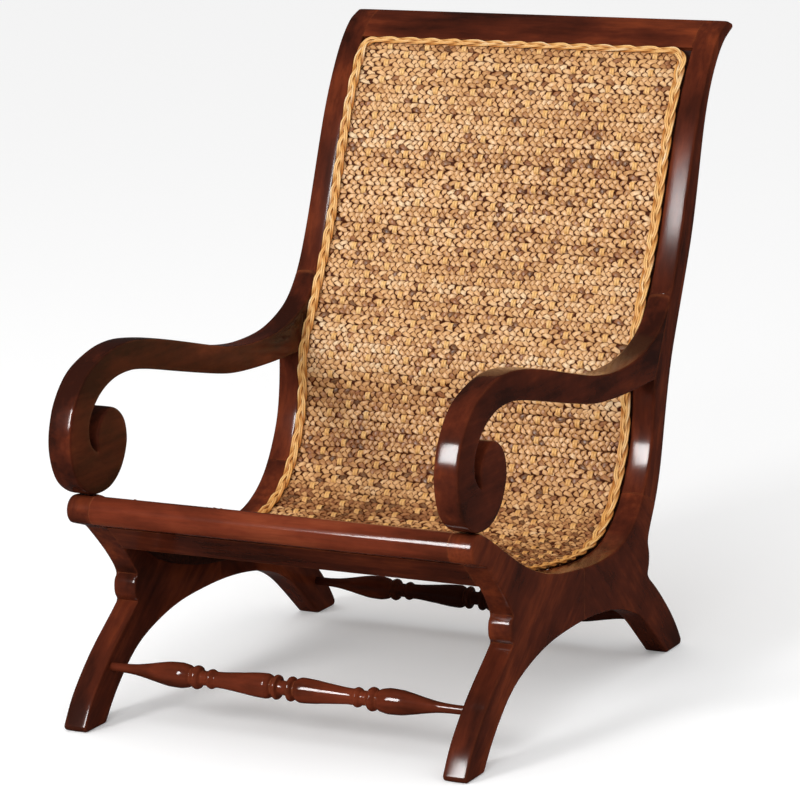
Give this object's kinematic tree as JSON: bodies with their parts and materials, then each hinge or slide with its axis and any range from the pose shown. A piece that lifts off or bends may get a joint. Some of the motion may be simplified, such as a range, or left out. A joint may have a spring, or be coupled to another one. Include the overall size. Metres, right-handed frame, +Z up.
{
  "type": "planters chair",
  "caption": "Low reclining planters chair with scrolled arms, splayed sabre legs, turned stretchers and a sling seat of woven hyacinth plaits.",
  "frame": {"origin": "on the floor, in the middle of the chair's width and depth", "axes": "+X to the sitter's left, +Y from the chair's front to its back, +Z up"},
  "size_m": [0.68, 1.0812, 1.0068],
  "materials": {
    "mahogany": "dark red-brown mahogany, glossy worn varnish",
    "worn_mahogany": "redder mahogany with rubbed glossy varnish",
    "plain_wood": "plain unvarnished wood",
    "hyacinth_plait": "matt dried water hyacinth plaits on flat cane",
    "rattan_border": "satin honey coloured rattan plait",
    "screw_steel": "plain steel"
  },
  "bodies": {
    "root": {"apron": "mahogany", "arm_dowel_lower_left": "plain_wood", "arm_dowel_lower_right": "plain_wood", "arm_dowel_upper_left": "plain_wood", "arm_dowel_upper_right": "plain_wood", "arm_left": "mahogany", "arm_right": "mahogany", "back_stile_left": "mahogany", "back_stile_right": "mahogany", "crest_rail": "mahogany", "front_leg_left": "mahogany", "front_leg_right": "mahogany", "front_rail": "worn_mahogany", "front_stretcher": "worn_mahogany", "leg_dowel_lower_left": "plain_wood", "leg_dowel_lower_right": "plain_wood", "leg_dowel_upper_left": "plain_wood", "leg_dowel_upper_right": "plain_wood", "panel_back_rail": "plain_wood", "panel_front_rail": "plain_wood", "panel_screw_left_1": "screw_steel", "panel_screw_left_2": "screw_steel", "panel_screw_left_3": "screw_steel", "panel_screw_left_4": "screw_steel", "panel_screw_left_5": "screw_steel", "panel_screw_right_1": "screw_steel", "panel_screw_right_2": "screw_steel", "panel_screw_right_3": "screw_steel", "panel_screw_right_4": "screw_steel", "panel_screw_right_5": "screw_steel", "panel_seat_rail": "plain_wood", "panel_side_rail_left": "plain_wood", "panel_side_rail_right": "plain_wood", "panel_top_rail": "plain_wood", "plait_border": "rattan_border", "rear_leg_left": "mahogany", "rear_leg_right": "mahogany", "rear_stretcher": "mahogany", "scroll_dowel_left": "plain_wood", "scroll_dowel_right": "plain_wood", "stile_dowel_front_left": "plain_wood", "stile_dowel_front_right": "plain_wood", "stile_dowel_rear_left": "plain_wood", "stile_dowel_rear_right": "plain_wood", "woven_mat": "hyacinth_plait"}
  },
  "joints": []
}
